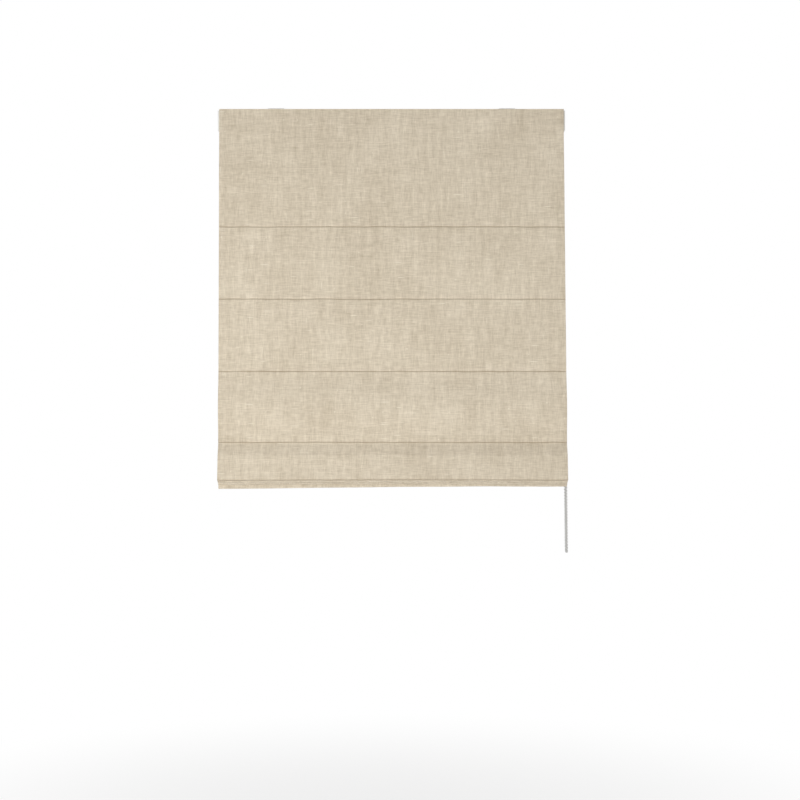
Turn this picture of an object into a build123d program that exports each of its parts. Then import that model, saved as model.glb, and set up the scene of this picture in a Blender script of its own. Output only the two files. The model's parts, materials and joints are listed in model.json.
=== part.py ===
from build123d import *
import math
import os

# A flat folded fabric shade, shown partly raised.
# Lengths are millimetres. X runs along the rail, to the right as seen from the room.
# The room is on the -Y side and +Z is up. The origin is the middle of the brackets' top
# faces, where they are screwed up from below.

# Cloth: a linen face in front of a thin lining
FABRIC_W = 686.0
FACE_T = 0.8
LINING_T = 0.4
LAYER_GAP = 0.15
FABRIC_TOP = -2.0
LINING_TOP = -3.5
SIDE_HEM_W = 28.0
SIDE_FOLD_T = 0.8
SIDE_HEM_GAP = 0.3
FILLET_SHARE = 0.95
EDGE_LAYERS = 1.8

# Rows of rings: the first four hang free, the last three are gathered up below them
ROW_1_DROP = 235.0
ROW_PITCH = 144.0
ROW_STACK = 10.0
HANGING_ROWS = (1, 2, 3, 4)
FOLDED_ROWS = (5, 6, 7)
TUCK_HALF = 1.2
TUCK_DEPTH = 1.0
TUCK_R = 0.6
TUCK_TIP_R = 0.5

# Slack panel above the gathered rows, which bows towards the room
BOW_LIFT = 3.0
BOW_DEPTH = 11.0
BOW_END = 18.0
BOW_END_R = 120.0
BOW_MIDDLE_R = 170.0

# Folds of the gathered cloth, from the front one to the back one
LOOP_BOTTOMS = (-739.5, -743.5, -747.5)
FOLD_HALF = 2.6
FOLD_R = 2.3
FACE_STEP = 2.9
LINING_STEP = 2.4
APEX_DROP = 1.2
APEX_R = 1.35
APEX_STRAIGHT = 3.2
GATE_RISE = 2.5
GATE_CLEAR = 0.5
GATE_R = 3.0
APEX_FOOT_R = 1.2
FLAP_BOTTOM = -752.0
FLAP_STRAIGHT = 14.0
FLAP_SPREAD_H = 18.0
FLAP_R = 6.0
FLAP_CLEAR = 0.3
BOTTOM_HEM_H = 24.0

# Ribs, rings and lift cords
RIB_R = 1.25
RIB_CLEAR = 0.1
RIB_INSET = 10.0
POCKET_MOUTH_R = 0.6
RING_R = 6.9
RING_WIRE = 1.6
RING_GAP = 0.35
RING_SIDES = 12
CORD_R = 0.7
CORD_X = {"left": -255.0, "middle": 0.0, "right": 255.0}
CORD_CLEAR = 0.15
TIE_R = 6.2
TIE_H = 11.0
TIE_SHOULDER = 1.5
TIE_WAIST_SHARE = 0.55
TIE_FOOT_R = 3.2

# Weight bar in the bottom hem
BAR_T = 2.4
BAR_H = 19.0
BAR_INSET = 10.0
BAR_CAP_L = 14.0
BAR_CAP_WALL = 0.35
BAR_CAP_TIP = 2.0
BAR_CAP_PLAY = 0.02
BAR_CAP_EDGE_SHARE = 0.97
BAR_EDGE_SHARE = 0.45
BAR_CLEAR = 0.1

# Head rail: an aluminium channel, open below, with a clip groove along each top edge
RAIL_D = 34.0
RAIL_H = 40.0
RAIL_WALL = 1.4
RAIL_LIP = 4.0
FLANGE_INSET = 1.1
FLANGE_H = 3.0
GROOVE_DEPTH = 1.3
GROOVE_H = 1.8

# Brackets that clip over the rail and are screwed up from below
BRACKET_T = 1.6
HEAD_ROOM = 2.6
BRACKET_W = 32.0
BRACKET_X = 230.0
BRACKET_SIDE_T = 1.0
BRACKET_LIP_T = 1.1
BRACKET_LIP_REACH = 1.2
BRACKET_TAB = 6.0
BRACKET_EDGE_R = 0.5
SCREW_HOLE_R = 2.3
SCREW_SPACING = 16.0

# Tape that holds the cloth on the rail
TAPE_H = 20.0
TAPE_CLEAR = 1.0
HOOK_TAPE_T = 1.2
LOOP_TAPE_T = 1.1

# Drive: a six-sided shaft through the cord drums, turned by the chain wheel
SHAFT_AF = 6.0
SHAFT_CLEAR = 0.1
LIFT_R = 8.5
DRUM_L = 36.0
DRUM_HUB_R = 4.6
DRUM_FLANGE_R = 11.5
DRUM_FLANGE_T = 1.5
DRUM_RAMP_R = 10.0
DRUM_RAMP_L = 6.0
CRADLE_WALL = 2.2
CRADLE_FLOOR = 2.0
CRADLE_CLEAR = 0.2
CRADLE_EYE_R = 2.0
BEARING_CLEAR = 0.08

# Bead chain and its wheel
BEAD_PITCH = 6.0
BEAD_R = 2.25
STRING_W = 1.2
CHAIN_BEADS = 296
CHAIN_DRIFT = 10.1
WHEEL_POCKETS = 13
WHEEL_T = 6.4
WHEEL_RIM = 0.9
POCKET_CLEAR = 0.15

# Clutch at the right end and plain cap at the left end
END_X = 346.0
CLUTCH_BACK_T = 2.4
CLUTCH_CORE_L = 5.6
CLUTCH_COVER_T = 2.2
CLUTCH_WALL = 1.4
CLUTCH_PLUG_L = 16.0
CLUTCH_CLEAR = 0.4
SHAFT_END_GAP = 1.0
COIL_GAP = 0.2
SPRING_PLAY = 0.05
RIM_SHARE = 0.4
PLUG_CLEAR = 0.25
PLUG_WALL = 1.8
CORNER_R = 3.0
HUB_R = 6.4
CORE_CLEAR = 0.3
SPRING_WIRE = 1.0
SPRING_TURNS = 4
BOSS_RIM = 2.0
BOSS_T = 0.8
CAP_T = 3.0
CAP_PLUG_L = 12.0
BEARING_R = 7.0
BEARING_L = 9.0

# Places that follow from the sizes above
RAIL_TOP = -(BRACKET_T + HEAD_ROOM)
RAIL_BOTTOM = RAIL_TOP - RAIL_H
BODY_TOP = RAIL_TOP - FLANGE_H - GROOVE_H
AXIS_Z = RAIL_TOP - RAIL_H / 2
RAIL_HALF = RAIL_D / 2
INNER_HALF = RAIL_HALF - RAIL_WALL
LIP_TOP = RAIL_BOTTOM + RAIL_WALL
CORD_Y = -LIFT_R
RIB_Y = CORD_Y - RING_R - RING_GAP - LINING_T - RIB_CLEAR - RIB_R
SEAM_Y = -RAIL_HALF - HOOK_TAPE_T - LOOP_TAPE_T - LINING_T - LAYER_GAP / 2
FACE_SHIFT = (LAYER_GAP + FACE_T) / 2
LINING_SHIFT = -(LAYER_GAP + LINING_T) / 2
HEM_SHIFT = -FACE_SHIFT
LAYER_HALF = LAYER_GAP / 2 + FACE_T
TAPE_TOP = BODY_TOP
RIB_L = FABRIC_W - 2 * RIB_INSET
COVER_X = END_X - CLUTCH_COVER_T
WHEEL_X = COVER_X - CLUTCH_CLEAR - WHEEL_T / 2
CORE_X = WHEEL_X - WHEEL_T / 2 - CLUTCH_CLEAR
RAIL_RIGHT = CORE_X - CLUTCH_CORE_L - CLUTCH_BACK_T
RAIL_LEFT = -END_X + CAP_T
CHAIN_R = BEAD_PITCH * WHEEL_POCKETS / (2 * math.pi)

os.makedirs("parts", exist_ok=True)


def save(part, name):
    """Label a finished piece and write it."""
    part.label = name
    export_step(part, f"parts/{name}.step")


def row_z(row):
    """Height of a row of rings."""
    if row < HANGING_ROWS[-1]:
        return -ROW_1_DROP - (row - 1) * ROW_PITCH
    gathered = row - HANGING_ROWS[-1]
    return -ROW_1_DROP - (HANGING_ROWS[-1] - 1) * ROW_PITCH + BOW_LIFT - gathered * ROW_STACK


def cross(a, b):
    """How far b turns to the left of a."""
    return a.X * b.Y - a.Y * b.X


def beside(corners, shift):
    """The corners (y, z, radius) of a bent line, moved to the right of the way it runs."""
    points = [Vector(y, z) for y, z, _ in corners]
    runs = [(b - a).normalized() for a, b in zip(points, points[1:])]
    sides = [Vector(run.Y, -run.X) * shift for run in runs]
    start, end = points[0] + sides[0], points[-1] + sides[-1]
    result = [(start.X, start.Y, 0)]
    for i in range(1, len(runs)):
        turn = cross(runs[i - 1], runs[i])
        start = points[i - 1] + sides[i - 1]
        place = start + runs[i - 1] * (cross(points[i] + sides[i] - start, runs[i]) / turn)
        result.append((place.X, place.Y, corners[i][2] + math.copysign(shift, turn * shift)))
    result.append((end.X, end.Y, 0))
    return result


def strip(corners, thickness, x_low, x_high):
    """A layer of cloth: a bent line in the YZ plane with a thickness and a width."""
    with BuildPart() as layer:
        with BuildSketch(Plane.YZ.offset(x_low)):
            with BuildLine():
                sides = []
                for shift in (-thickness / 2, thickness / 2):
                    side = beside(corners, shift)
                    spots = [(y, z) for y, z, _ in side]
                    sides.append(FilletPolyline(*spots, radius=[r for _, _, r in side[1:-1]]))
                Line(sides[0] @ 0, sides[1] @ 0)
                Line(sides[0] @ 1, sides[1] @ 1)
            make_face()
        extrude(amount=x_high - x_low)
    return layer.part


def gathered_seam():
    """Corners of the seam between the cloths below the last hanging row, and which are apexes."""
    leg = RIB_Y - (RIB_R + RIB_CLEAR + 2 * FACE_T) - LAYER_GAP - GATE_CLEAR
    flap_front = RIB_Y + FACE_STEP / 2 - BAR_T / 2 - BAR_CAP_WALL - BAR_CLEAR - FACE_T
    back_leg = flap_front - FLAP_CLEAR - LAYER_HALF
    last = FOLDED_ROWS[-1]
    corners = [(SEAM_Y, row_z(HANGING_ROWS[-1]) - APEX_STRAIGHT, GATE_R)]
    apexes = []
    for loop, bottom in enumerate(LOOP_BOTTOMS):
        row = FOLDED_ROWS[loop]
        behind = len(LOOP_BOTTOMS) - 1 - loop
        back = back_leg - behind * (2 * FOLD_HALF + FACE_STEP)
        floor = bottom + LAYER_HALF
        step = FACE_STEP + LINING_STEP
        corners.append((leg, row_z(row) + GATE_RISE, GATE_R))
        if behind:
            corners.append((leg - behind * step, row_z(last) + GATE_RISE, GATE_R))
        corners.append((back - 2 * FOLD_HALF, floor, FOLD_R))
        corners.append((back, floor, FOLD_R))
        if behind:
            corners.append((leg - (behind - 1) * step - FACE_STEP, row_z(last) + GATE_RISE, GATE_R))
        if behind > 1:
            corners.append((leg - FACE_STEP, row_z(row + 1) + GATE_RISE, GATE_R))
        for side in (-FACE_STEP / 2, FACE_STEP / 2):
            foot = (RIB_Y + side, row_z(row) - APEX_STRAIGHT, APEX_FOOT_R)
            apex = (RIB_Y + side, row_z(row) - APEX_DROP, APEX_R)
            if side < 0:
                corners.append(foot)
            apexes.append((len(corners), row))
            corners.append(apex)
            if side > 0 and row != last:
                corners.append(foot)
    corners.append((RIB_Y + FACE_STEP / 2, row_z(last) - FLAP_STRAIGHT, FLAP_R))
    return corners, apexes


def bow(y):
    """Corners of the slack panel between the last two hanging rows."""
    upper, lower = (row_z(row) for row in HANGING_ROWS[-2:])
    return [
        (y, upper - BOW_END, BOW_END_R),
        (y - BOW_DEPTH, (upper + lower) / 2, BOW_MIDDLE_R),
        (y, lower + BOW_END, BOW_END_R),
    ]


def tuck(y, z):
    """Corners of the stitched tuck that shows as a thin line across the face."""
    return [(y, z + TUCK_HALF, TUCK_R), (y + TUCK_DEPTH, z, TUCK_TIP_R), (y, z - TUCK_HALF, TUCK_R)]


def pocket(y, z, thickness):
    """Corners of a rib pocket, a small box pleat on the back."""
    half = RIB_R + RIB_CLEAR + thickness / 2
    out_r = half * FILLET_SHARE
    mouth = POCKET_MOUTH_R
    back = RIB_Y + half
    return [(y, z + half, mouth), (back, z + half, out_r), (back, z - half, out_r), (y, z - half, mouth)]


def hanging(y, top, row_shape):
    """Corners from the top of the shade down to the last hanging row."""
    corners = [(y, top, 0)]
    for row in HANGING_ROWS:
        if row == HANGING_ROWS[-1]:
            corners += bow(y)
        corners += row_shape(y, row_z(row))
    return corners


def bar_z():
    """Height of the middle of the weight bar."""
    return FLAP_BOTTOM + FACE_T + BAR_CLEAR + BAR_CAP_WALL + BAR_H / 2


def face_corners():
    """The face cloth: over the rail, down to the gathered folds and round the weight bar."""
    seam, _ = gathered_seam()
    folds = beside([(SEAM_Y, row_z(HANGING_ROWS[-1]), 0)] + seam, FACE_SHIFT)
    flap_y = RIB_Y + FACE_STEP / 2
    half = BAR_T / 2 + BAR_CAP_WALL + BAR_CLEAR + FACE_T / 2
    split = folds[-1]
    low = FLAP_BOTTOM + FACE_T / 2
    return (
        hanging(SEAM_Y - FACE_SHIFT, FABRIC_TOP, tuck)
        + folds[1:-1]
        + [
            (split[0], split[1], FLAP_R),
            (flap_y - half, split[1] - FLAP_SPREAD_H, FLAP_R),
            (flap_y - half, low, half * FILLET_SHARE),
            (flap_y + half, low, half * FILLET_SHARE),
            (flap_y + half, low + BOTTOM_HEM_H, 0),
        ]
    )


def back_corners(thickness, shift):
    """The lining, or the side hem that lies in its place, down to the bottom hem."""
    seam, apexes = gathered_seam()
    folds = beside([(SEAM_Y, row_z(HANGING_ROWS[-1]), 0)] + seam, shift)
    arch_r = FACE_STEP / 2 - shift
    for index, row in apexes:
        y = folds[index + 1][0]
        folds[index + 1] = (y, row_z(row) + RIB_R + RIB_CLEAR + thickness / 2, arch_r * FILLET_SHARE)
    half = BAR_T / 2 + BAR_CAP_WALL + BAR_CLEAR + thickness / 2
    split = folds[-1]
    hem_top = FLAP_BOTTOM + FACE_T / 2 + BOTTOM_HEM_H
    return (
        hanging(SEAM_Y - shift, LINING_TOP, lambda y, z: pocket(y, z, thickness))
        + folds[1:-1]
        + [
            (split[0], split[1], FLAP_R),
            (RIB_Y + FACE_STEP / 2 + half, split[1] - FLAP_SPREAD_H, FLAP_R),
            (RIB_Y + FACE_STEP / 2 + half, hem_top + SIDE_HEM_GAP, 0),
        ]
    )


def edge_corners():
    """The seam itself, where the face turns round the side of the shade."""
    seam, _ = gathered_seam()
    return [(SEAM_Y, LINING_TOP, 0)] + bow(SEAM_Y) + seam[:-1] + [(*seam[-1][:2], 0)]


# Face cloth, one piece with its turned side hems
half_w = FABRIC_W / 2
hem = back_corners(FACE_T, HEM_SHIFT)
edge_t = LAYER_GAP + EDGE_LAYERS * FACE_T
with BuildPart() as face_fabric:
    add(strip(face_corners(), FACE_T, -half_w, half_w))
    add(strip(hem, FACE_T, -half_w, -half_w + SIDE_HEM_W))
    add(strip(hem, FACE_T, half_w - SIDE_HEM_W, half_w))
    add(strip(edge_corners(), edge_t, -half_w, -half_w + SIDE_FOLD_T))
    add(strip(edge_corners(), edge_t, half_w - SIDE_FOLD_T, half_w))
save(face_fabric.part, "face_fabric")

# Lining between the side hems
lining_half = half_w - SIDE_HEM_W - SIDE_HEM_GAP
lining = strip(back_corners(LINING_T, LINING_SHIFT), LINING_T, -lining_half, lining_half)
save(lining, "lining")

# Ribs, one in the pocket of each row
for row in HANGING_ROWS + FOLDED_ROWS:
    with BuildPart() as rib:
        with BuildSketch(Plane.YZ.offset(-RIB_L / 2)):
            with Locations((RIB_Y, row_z(row))):
                Circle(RIB_R)
        extrude(amount=RIB_L)
    save(rib.part, f"rib_{row}")

# Rings sewn to the pockets, three in each row
for row in HANGING_ROWS + FOLDED_ROWS:
    with BuildPart() as rings:
        with BuildSketch(Plane.XY.offset(row_z(row) - RING_WIRE / 2)):
            with Locations(*[(x, CORD_Y) for x in CORD_X.values()]):
                RegularPolygon(RING_R, RING_SIDES)
                RegularPolygon(RING_R - RING_WIRE, RING_SIDES, mode=Mode.SUBTRACT)
        extrude(amount=RING_WIRE)
    save(rings.part, f"rings_{row}")

# Lift cords, from the drums down through the rings to the ties
tie_top = row_z(FOLDED_ROWS[-1]) - RING_WIRE / 2
for name, x in CORD_X.items():
    with BuildPart() as cord:
        with BuildSketch(Plane.XY.offset(tie_top - TIE_H)):
            with Locations((x, CORD_Y)):
                Circle(CORD_R)
        extrude(amount=AXIS_Z - tie_top + TIE_H)
    save(cord.part, f"{name}_lift_cord")

# Cord ties that hold the last rings up
with BuildPart() as cord_ties:
    for x in CORD_X.values():
        with BuildSketch(Plane.XZ.offset(-CORD_Y)):
            with BuildLine():
                bore = x + CORD_R + CORD_CLEAR / 2
                Polyline(
                    (bore, tie_top),
                    (x + TIE_R, tie_top),
                    (x + TIE_R, tie_top - TIE_SHOULDER),
                    (x + TIE_FOOT_R, tie_top - TIE_H * TIE_WAIST_SHARE),
                    (x + TIE_FOOT_R, tie_top - TIE_H),
                    (bore, tie_top - TIE_H),
                    close=True,
                )
            make_face()
        revolve(axis=Axis((x, CORD_Y, 0), (0, 0, 1)))
save(cord_ties.part, "cord_ties")

# Weight bar and its slip-on end caps
bar_y = RIB_Y + FACE_STEP / 2
bar_half = half_w - BAR_INSET
with BuildPart() as weight_bar:
    with BuildSketch(Plane.YZ.offset(-bar_half)):
        with Locations((bar_y, bar_z())):
            RectangleRounded(BAR_T, BAR_H, BAR_T * BAR_EDGE_SHARE)
    extrude(amount=2 * bar_half)
save(weight_bar.part, "weight_bar")

for name, side in (("left", -1), ("right", 1)):
    end = side * (bar_half + BAR_CAP_TIP)
    with BuildPart() as bar_cap:
        with BuildSketch(Plane.YZ.offset(end)):
            with Locations((bar_y, bar_z())):
                cap_half = BAR_T / 2 + BAR_CAP_WALL
                RectangleRounded(2 * cap_half, BAR_H + 2 * BAR_CAP_WALL, cap_half * BAR_CAP_EDGE_SHARE)
        extrude(amount=-side * BAR_CAP_L)
        with BuildSketch(Plane.YZ.offset(side * bar_half)):
            with Locations((bar_y, bar_z())):
                Rectangle(BAR_T + BAR_CAP_PLAY, BAR_H + BAR_CAP_PLAY)
        extrude(amount=-side * BAR_CAP_L, mode=Mode.SUBTRACT)
    save(bar_cap.part, f"{name}_bar_cap")


# Head rail
def rail_outline():
    """Half of the rail's section, from the middle of its top to its lower lip."""
    outer, inner = RAIL_HALF, INNER_HALF
    flange = outer - FLANGE_INSET
    neck = flange - GROOVE_DEPTH
    return [
        (0, RAIL_TOP),
        (flange, RAIL_TOP),
        (flange, RAIL_TOP - FLANGE_H),
        (neck, RAIL_TOP - FLANGE_H),
        (neck, BODY_TOP),
        (outer, BODY_TOP),
        (outer, RAIL_BOTTOM),
        (inner - RAIL_LIP, RAIL_BOTTOM),
        (inner - RAIL_LIP, LIP_TOP),
        (inner, LIP_TOP),
        (inner, BODY_TOP - RAIL_WALL),
        (neck - RAIL_WALL, BODY_TOP - RAIL_WALL),
        (neck - RAIL_WALL, RAIL_TOP - RAIL_WALL),
        (0, RAIL_TOP - RAIL_WALL),
    ]


with BuildPart() as headrail:
    with BuildSketch(Plane.YZ.offset(RAIL_LEFT)):
        with BuildLine():
            Polyline(*rail_outline(), close=True)
        make_face()
        mirror(about=Plane.YZ)
    extrude(amount=RAIL_RIGHT - RAIL_LEFT)
save(headrail.part, "headrail")

# Mounting brackets
flange_half = RAIL_HALF - FLANGE_INSET
lip_top = RAIL_TOP - FLANGE_H
for name, x in (("left", -BRACKET_X), ("right", BRACKET_X)):
    with BuildPart() as bracket:
        with BuildSketch(Plane.YZ.offset(x - BRACKET_W / 2)):
            with BuildLine():
                side = RAIL_HALF - BRACKET_SIDE_T
                hook = flange_half - BRACKET_LIP_REACH
                low = lip_top - BRACKET_LIP_T
                Polyline(
                    (-RAIL_HALF, 0),
                    (RAIL_HALF, 0),
                    (RAIL_HALF, lip_top),
                    (RAIL_HALF + BRACKET_TAB, lip_top - BRACKET_LIP_T),
                    (RAIL_HALF + BRACKET_TAB, low - BRACKET_LIP_T),
                    (RAIL_HALF, low),
                    (hook, low),
                    (hook, lip_top),
                    (side, lip_top),
                    (side, -BRACKET_T),
                    (-side, -BRACKET_T),
                    (-side, lip_top),
                    (-hook, lip_top),
                    (-hook, low),
                    (-RAIL_HALF, low),
                    close=True,
                )
            make_face()
        extrude(amount=BRACKET_W)
        top = bracket.faces().sort_by(Axis.Z)[-1]
        fillet(top.edges().filter_by(Axis.X), BRACKET_EDGE_R)
        with Locations((x, -SCREW_SPACING / 2, 0), (x, SCREW_SPACING / 2, 0)):
            Hole(SCREW_HOLE_R, depth=BRACKET_T)
    save(bracket.part, f"{name}_bracket")

# Tapes: hooks stuck to the rail, loops sewn to the lining
tape_l = 2 * (lining_half - TAPE_CLEAR)
for name, front, thick in (
    ("hook_tape", -RAIL_HALF - HOOK_TAPE_T, HOOK_TAPE_T),
    ("loop_tape", -RAIL_HALF - HOOK_TAPE_T - LOOP_TAPE_T, LOOP_TAPE_T),
):
    with BuildPart() as tape:
        with BuildSketch(Plane.XZ.offset(-front)):
            with Locations((0, TAPE_TOP - TAPE_H / 2)):
                Rectangle(tape_l, TAPE_H)
        extrude(amount=-thick)
    save(tape.part, name)

# Shaft
shaft_left = RAIL_LEFT + SHAFT_END_GAP
shaft_right = WHEEL_X + WHEEL_T / 2
with BuildPart() as shaft:
    with BuildSketch(Plane.YZ.offset(shaft_left)):
        with Locations((0, AXIS_Z)):
            RegularPolygon(SHAFT_AF / 2, 6, major_radius=False)
    extrude(amount=shaft_right - shaft_left)
save(shaft.part, "shaft")

# Cord drums on the shaft, each in a cradle that clips into the rail
core_r = LIFT_R - CORD_R
hub_l = CRADLE_WALL + 2 * CRADLE_CLEAR
for name, x in CORD_X.items():
    with BuildPart() as drum:
        with BuildSketch(Plane.XY.offset(AXIS_Z)):
            with BuildLine():
                left, right = x - DRUM_L / 2, x + DRUM_L / 2
                Polyline(
                    (left - hub_l, 0),
                    (left - hub_l, DRUM_HUB_R),
                    (left, DRUM_HUB_R),
                    (left, DRUM_FLANGE_R),
                    (left + DRUM_FLANGE_T, DRUM_FLANGE_R),
                    (left + DRUM_FLANGE_T, DRUM_RAMP_R),
                    (left + DRUM_FLANGE_T + DRUM_RAMP_L, core_r),
                    (right - DRUM_FLANGE_T, core_r),
                    (right - DRUM_FLANGE_T, DRUM_FLANGE_R),
                    (right, DRUM_FLANGE_R),
                    (right, DRUM_HUB_R),
                    (right + hub_l, DRUM_HUB_R),
                    (right + hub_l, 0),
                    close=True,
                )
            make_face()
        revolve(axis=Axis((0, 0, AXIS_Z), (1, 0, 0)))
        with BuildSketch(Plane.YZ.offset(x - DRUM_L)):
            with Locations((0, AXIS_Z)):
                RegularPolygon(SHAFT_AF / 2 + SHAFT_CLEAR, 6, major_radius=False)
        extrude(amount=2 * DRUM_L, mode=Mode.SUBTRACT)
    save(drum.part, f"{name}_drum")

    cradle_half = INNER_HALF - CRADLE_CLEAR / 2
    with BuildPart() as cradle:
        with BuildSketch(Plane.YZ.offset(x - DRUM_L / 2 - CRADLE_CLEAR - CRADLE_WALL)):
            with BuildLine():
                cheek_top = AXIS_Z + DRUM_HUB_R + CRADLE_WALL
                Polyline(
                    (-cradle_half, LIP_TOP),
                    (cradle_half, LIP_TOP),
                    (cradle_half, AXIS_Z),
                    (DRUM_HUB_R + CRADLE_WALL, cheek_top),
                    (-DRUM_HUB_R - CRADLE_WALL, cheek_top),
                    (-cradle_half, AXIS_Z),
                    close=True,
                )
            make_face()
            with Locations((0, AXIS_Z)):
                Circle(DRUM_HUB_R + BEARING_CLEAR, mode=Mode.SUBTRACT)
        extrude(amount=DRUM_L + 2 * (CRADLE_CLEAR + CRADLE_WALL))
        with BuildSketch(Plane.YZ.offset(x - DRUM_L / 2 - CRADLE_CLEAR)):
            with Locations((0, LIP_TOP + CRADLE_FLOOR)):
                Rectangle(2 * RAIL_D, RAIL_H, align=(Align.CENTER, Align.MIN))
        extrude(amount=DRUM_L + 2 * CRADLE_CLEAR, mode=Mode.SUBTRACT)
        with BuildSketch(Plane.XY.offset(LIP_TOP)):
            with Locations((x, CORD_Y)):
                SlotOverall(DRUM_L / 2, 2 * CRADLE_EYE_R)
        extrude(amount=CRADLE_FLOOR, mode=Mode.SUBTRACT)
    save(cradle.part, f"{name}_cradle")


# Bead chain: beads moulded on one endless string, over the wheel and down both sides
def chain_point(length):
    """A point on the chain's loop, this far from where it meets the wheel at the front."""
    strand = (CHAIN_BEADS * BEAD_PITCH - 2 * math.pi * CHAIN_R) / 2
    half_turn = math.pi * CHAIN_R
    length %= 2 * (strand + half_turn)
    if length < half_turn:
        angle = length / CHAIN_R
        y, down = -CHAIN_R * math.cos(angle), -CHAIN_R * math.sin(angle)
    elif length < half_turn + strand:
        y, down = CHAIN_R, length - half_turn
    elif length < 2 * half_turn + strand:
        angle = (length - half_turn - strand) / CHAIN_R
        y, down = CHAIN_R * math.cos(angle), strand + CHAIN_R * math.sin(angle)
    else:
        y, down = -CHAIN_R, 2 * (half_turn + strand) - length
    drift = CHAIN_DRIFT * max(0.0, min(1.0, down / strand))
    return Vector(WHEEL_X + drift, y, AXIS_Z - down)


def diamond(place, along):
    """One bead, as two four-sided cones base to base."""
    plane = Plane(origin=place, x_dir=(1, 0, 0), z_dir=along)
    with BuildPart() as bead:
        for reach, side in ((-BEAD_R, STRING_W / 2), (0, BEAD_R * math.sqrt(2)), (BEAD_R, STRING_W / 2)):
            with BuildSketch(plane.offset(reach)):
                Rectangle(side, side)
        loft(ruled=True)
    return bead.part


def square_run(start, end):
    """A straight run of the string."""
    with BuildPart() as run:
        with BuildSketch(Plane(origin=start, x_dir=(1, 0, 0), z_dir=end - start)):
            Rectangle(STRING_W, STRING_W)
        extrude(amount=(end - start).length)
    return run.part


bead_places = [chain_point(i * BEAD_PITCH) for i in range(CHAIN_BEADS)]
bead_ways = [
    (bead_places[(i + 1) % CHAIN_BEADS] - bead_places[i - 1]).normalized() for i in range(CHAIN_BEADS)
]
runs = []
run_start = 0
for i in range(1, CHAIN_BEADS + 1):
    ahead = bead_places[(i + 1) % CHAIN_BEADS] - bead_places[i % CHAIN_BEADS]
    behind = bead_places[i % CHAIN_BEADS] - bead_places[i - 1]
    if i == CHAIN_BEADS or ahead.get_angle(behind) > 1:
        runs.append(square_run(bead_places[run_start], bead_places[i % CHAIN_BEADS]))
        run_start = i
with BuildPart() as bead_chain:
    add(runs)
    add([diamond(place, way) for place, way in zip(bead_places, bead_ways)])
save(bead_chain.part, "bead_chain")

# Chain wheel, with a pocket for each bead and a groove for the string
wheel_r = CHAIN_R + WHEEL_RIM
with BuildPart() as chain_wheel:
    with BuildSketch(Plane.YZ.offset(WHEEL_X - WHEEL_T / 2)):
        with Locations((0, AXIS_Z)):
            Circle(wheel_r)
            RegularPolygon(SHAFT_AF / 2 + SHAFT_CLEAR, 6, major_radius=False, mode=Mode.SUBTRACT)
    extrude(amount=WHEEL_T)
    with BuildSketch(Plane.YZ.offset(WHEEL_X - STRING_W / 2 - POCKET_CLEAR)):
        with Locations((0, AXIS_Z)):
            Circle(wheel_r + 1)
            Circle(CHAIN_R - STRING_W, mode=Mode.SUBTRACT)
    extrude(amount=STRING_W + 2 * POCKET_CLEAR, mode=Mode.SUBTRACT)
    for number in range(WHEEL_POCKETS):
        angle = number * 2 * math.pi / WHEEL_POCKETS
        outward = Vector(0, -math.cos(angle), math.sin(angle))
        along = Vector(0, math.sin(angle), math.cos(angle))
        place = Vector(WHEEL_X, 0, AXIS_Z) + outward * CHAIN_R
        with Locations(Plane(origin=place, x_dir=outward, z_dir=along)):
            Sphere(BEAD_R + POCKET_CLEAR, mode=Mode.SUBTRACT)
save(chain_wheel.part, "chain_wheel")


# Clutch: a housing plugged into the rail's end, a fixed core with its brake spring, a cover
def end_outline(height_low):
    """The rounded outline that both ends of the rail share."""
    with BuildSketch() as outline:
        with Locations((0, (RAIL_TOP + height_low) / 2)):
            RectangleRounded(RAIL_D, RAIL_TOP - height_low, CORNER_R)
    return outline.sketch


def rail_plug(x_low, x_high):
    """A hollow plug that fits between the rail's walls."""
    wide = 2 * (INNER_HALF - PLUG_CLEAR)
    high = BODY_TOP - RAIL_WALL - LIP_TOP - 2 * PLUG_CLEAR
    with BuildPart() as plug:
        with BuildSketch(Plane.YZ.offset(x_low)):
            with Locations((0, LIP_TOP + PLUG_CLEAR + high / 2)):
                RectangleRounded(wide, high, PLUG_WALL)
                Rectangle(wide - 2 * PLUG_WALL, high - 2 * PLUG_WALL, mode=Mode.SUBTRACT)
        extrude(amount=x_high - x_low)
    return plug.part


with BuildPart() as clutch_housing:
    with BuildSketch(Plane.YZ.offset(RAIL_RIGHT)):
        add(end_outline(RAIL_BOTTOM))
    extrude(amount=COVER_X - RAIL_RIGHT)
    with BuildSketch(Plane.YZ.offset(RAIL_RIGHT + CLUTCH_BACK_T)):
        with Locations((0, (RAIL_TOP + RAIL_BOTTOM) / 2)):
            RectangleRounded(RAIL_D - 2 * CLUTCH_WALL, RAIL_H - 2 * CLUTCH_WALL, CORNER_R - CLUTCH_WALL)
    extrude(amount=COVER_X - RAIL_RIGHT, mode=Mode.SUBTRACT)
    with BuildSketch(Plane.YZ.offset(CORE_X)):
        with Locations((0, RAIL_BOTTOM)):
            Rectangle(RAIL_D - 2 * CLUTCH_WALL, 2 * CORNER_R)
    extrude(amount=COVER_X - CORE_X, mode=Mode.SUBTRACT)
    add(rail_plug(RAIL_RIGHT - CLUTCH_PLUG_L, RAIL_RIGHT))
    with BuildSketch(Plane.YZ.offset(RAIL_RIGHT)):
        with Locations((0, AXIS_Z)):
            Circle(HUB_R)
    extrude(amount=CLUTCH_BACK_T, mode=Mode.SUBTRACT)
save(clutch_housing.part, "clutch_housing")

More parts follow.
